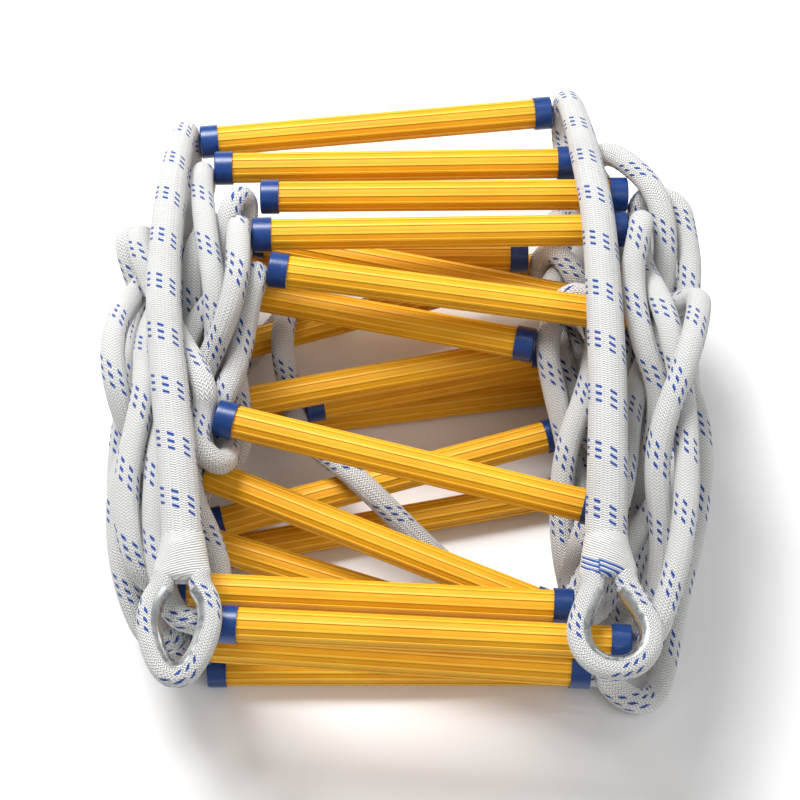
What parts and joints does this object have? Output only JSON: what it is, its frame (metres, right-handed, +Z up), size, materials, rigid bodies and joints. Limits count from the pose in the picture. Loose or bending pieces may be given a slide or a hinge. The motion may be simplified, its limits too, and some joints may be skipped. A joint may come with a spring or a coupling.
{
  "type": "escape rope ladder",
  "caption": "Folded escape rope ladder: ribbed plastic rungs with blue end caps between two braided side ropes with thimble eyes.",
  "frame": {"origin": "on the floor, under the middle of the folded bundle's rungs", "axes": "+Z up from the floor that the bundle lies on, +Y along the folded strands, away from the two eyes, and +X along the rungs, to the right seen from the eyes"},
  "size_m": [0.4799, 0.5507, 0.2124],
  "materials": {
    "rung_plastic": "golden yellow extruded ribbed plastic, satin",
    "cap_plastic": "royal blue moulded plastic, slightly glossy",
    "rope": "white braided synthetic rope with blue tracer yarns",
    "binding": "white synthetic yarn, tightly wound",
    "galvanised_steel": "zinc-plated pressed steel"
  },
  "bodies": {
    "root": {"rung_01_tube": "rung_plastic", "rung_01_end_caps": "cap_plastic", "rung_02_tube": "rung_plastic", "rung_02_end_caps": "cap_plastic", "rung_03_tube": "rung_plastic", "rung_03_end_caps": "cap_plastic", "rung_04_tube": "rung_plastic", "rung_04_end_caps": "cap_plastic", "rung_05_tube": "rung_plastic", "rung_05_end_caps": "cap_plastic", "rung_06_tube": "rung_plastic", "rung_06_end_caps": "cap_plastic", "rung_07_tube": "rung_plastic", "rung_07_end_caps": "cap_plastic", "rung_08_tube": "rung_plastic", "rung_08_end_caps": "cap_plastic", "rung_09_tube": "rung_plastic", "rung_09_end_caps": "cap_plastic", "rung_10_tube": "rung_plastic", "rung_10_end_caps": "cap_plastic", "rung_11_tube": "rung_plastic", "rung_11_end_caps": "cap_plastic", "rung_12_tube": "rung_plastic", "rung_12_end_caps": "cap_plastic", "rung_13_tube": "rung_plastic", "rung_13_end_caps": "cap_plastic", "rung_14_tube": "rung_plastic", "rung_14_end_caps": "cap_plastic", "rung_15_tube": "rung_plastic", "rung_15_end_caps": "cap_plastic", "rung_16_tube": "rung_plastic", "rung_16_end_caps": "cap_plastic", "rung_17_tube": "rung_plastic", "rung_17_end_caps": "cap_plastic", "rung_18_tube": "rung_plastic", "rung_18_end_caps": "cap_plastic", "rung_19_tube": "rung_plastic", "rung_19_end_caps": "cap_plastic", "rung_20_tube": "rung_plastic", "rung_20_end_caps": "cap_plastic", "rung_21_tube": "rung_plastic", "rung_21_end_caps": "cap_plastic", "rung_tie_cords": "rope", "left_side_rope": "rope", "left_end_whipping": "binding", "right_side_rope": "rope", "right_end_whipping": "binding"},
    "left_tail": {"left_tail_rope": "rope", "left_eye_rope": "rope", "left_thimble": "galvanised_steel", "left_throat_binding": "binding"},
    "right_tail": {"right_tail_rope": "rope", "right_eye_rope": "rope", "right_thimble": "galvanised_steel", "right_throat_binding": "binding"}
  },
  "joints": [
    {"name": "left_tail_lift", "type": "hinge", "parent": "root", "child": "left_tail", "pos_m": [-0.19193, 0.2153, 0.12], "axis": [-0.9945, -0.1045, 0], "range_deg": [0, 90]},
    {"name": "right_tail_lift", "type": "hinge", "parent": "root", "child": "right_tail", "pos_m": [0.12593, 0.2487, 0.12], "axis": [-0.9945, -0.1045, 0], "range_deg": [0, 90]}
  ]
}
